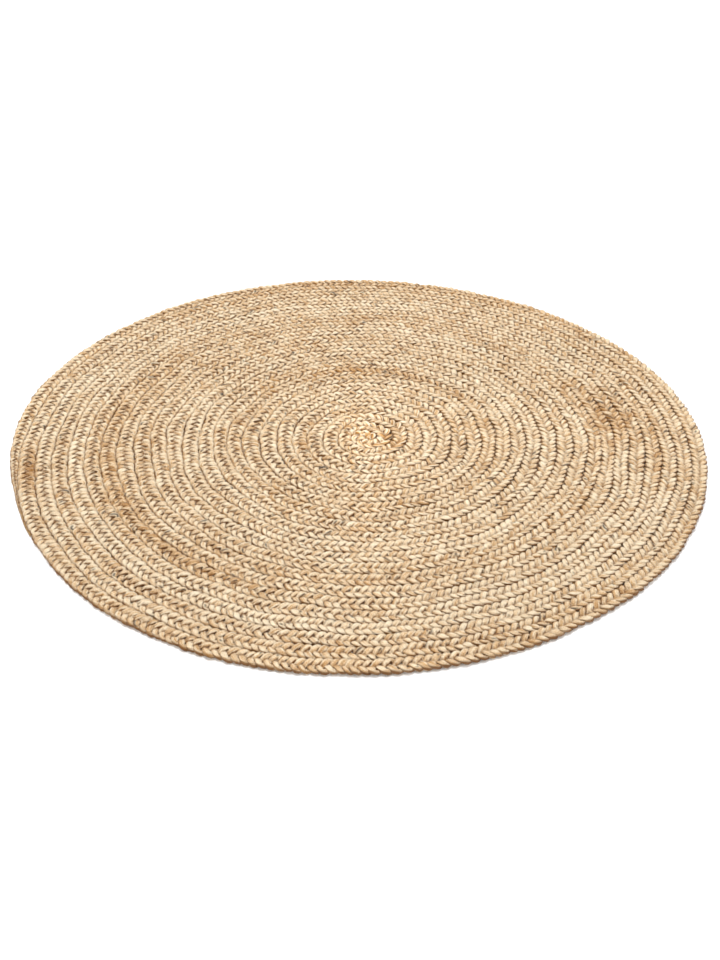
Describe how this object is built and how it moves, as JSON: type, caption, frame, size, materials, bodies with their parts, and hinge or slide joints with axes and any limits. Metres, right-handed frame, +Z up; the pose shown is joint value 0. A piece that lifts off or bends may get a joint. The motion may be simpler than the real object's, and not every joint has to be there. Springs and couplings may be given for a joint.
{
  "type": "round area rug",
  "caption": "Round area rug: a flat three-strand natural jute braid coiled in a spiral and laced edge to edge, for a bare floor.",
  "frame": {"origin": "under the middle of the rug's outline, on the floor it lies on", "axes": "+Z up through the rug's thickness; the tapered end of the braid lies on the rim 28 degrees past -X towards -Y"},
  "size_m": [1.2102, 1.2006, 0.01],
  "materials": {
    "jute_braid": "matt loosely spun natural jute strands with a faint dry sheen along the fibres",
    "lacing_twine": "matt twisted jute twine"
  },
  "bodies": {
    "root": {"start_curl": "jute_braid", "braid_turn_01": "jute_braid", "braid_turn_02": "jute_braid", "braid_turn_03": "jute_braid", "braid_turn_04": "jute_braid", "braid_turn_05": "jute_braid", "braid_turn_06": "jute_braid", "braid_turn_07": "jute_braid", "braid_turn_08": "jute_braid", "braid_turn_09": "jute_braid", "braid_turn_10": "jute_braid", "braid_turn_11": "jute_braid", "braid_turn_12": "jute_braid", "braid_turn_13": "jute_braid", "braid_turn_14": "jute_braid", "braid_turn_15": "jute_braid", "braid_turn_16": "jute_braid", "braid_turn_17": "jute_braid", "braid_turn_18": "jute_braid", "braid_turn_19": "jute_braid", "braid_turn_20": "jute_braid", "braid_turn_21": "jute_braid", "braid_turn_22": "jute_braid", "tail_end": "jute_braid", "lacing_01": "lacing_twine", "lacing_02": "lacing_twine", "lacing_03": "lacing_twine", "lacing_04": "lacing_twine", "lacing_05": "lacing_twine", "lacing_06": "lacing_twine", "lacing_07": "lacing_twine", "lacing_08": "lacing_twine", "lacing_09": "lacing_twine", "lacing_10": "lacing_twine", "lacing_11": "lacing_twine", "lacing_12": "lacing_twine", "lacing_13": "lacing_twine", "lacing_14": "lacing_twine", "lacing_15": "lacing_twine", "lacing_16": "lacing_twine", "lacing_17": "lacing_twine", "lacing_18": "lacing_twine", "lacing_19": "lacing_twine", "lacing_20": "lacing_twine", "lacing_21": "lacing_twine", "lacing_22": "lacing_twine"}
  },
  "joints": []
}
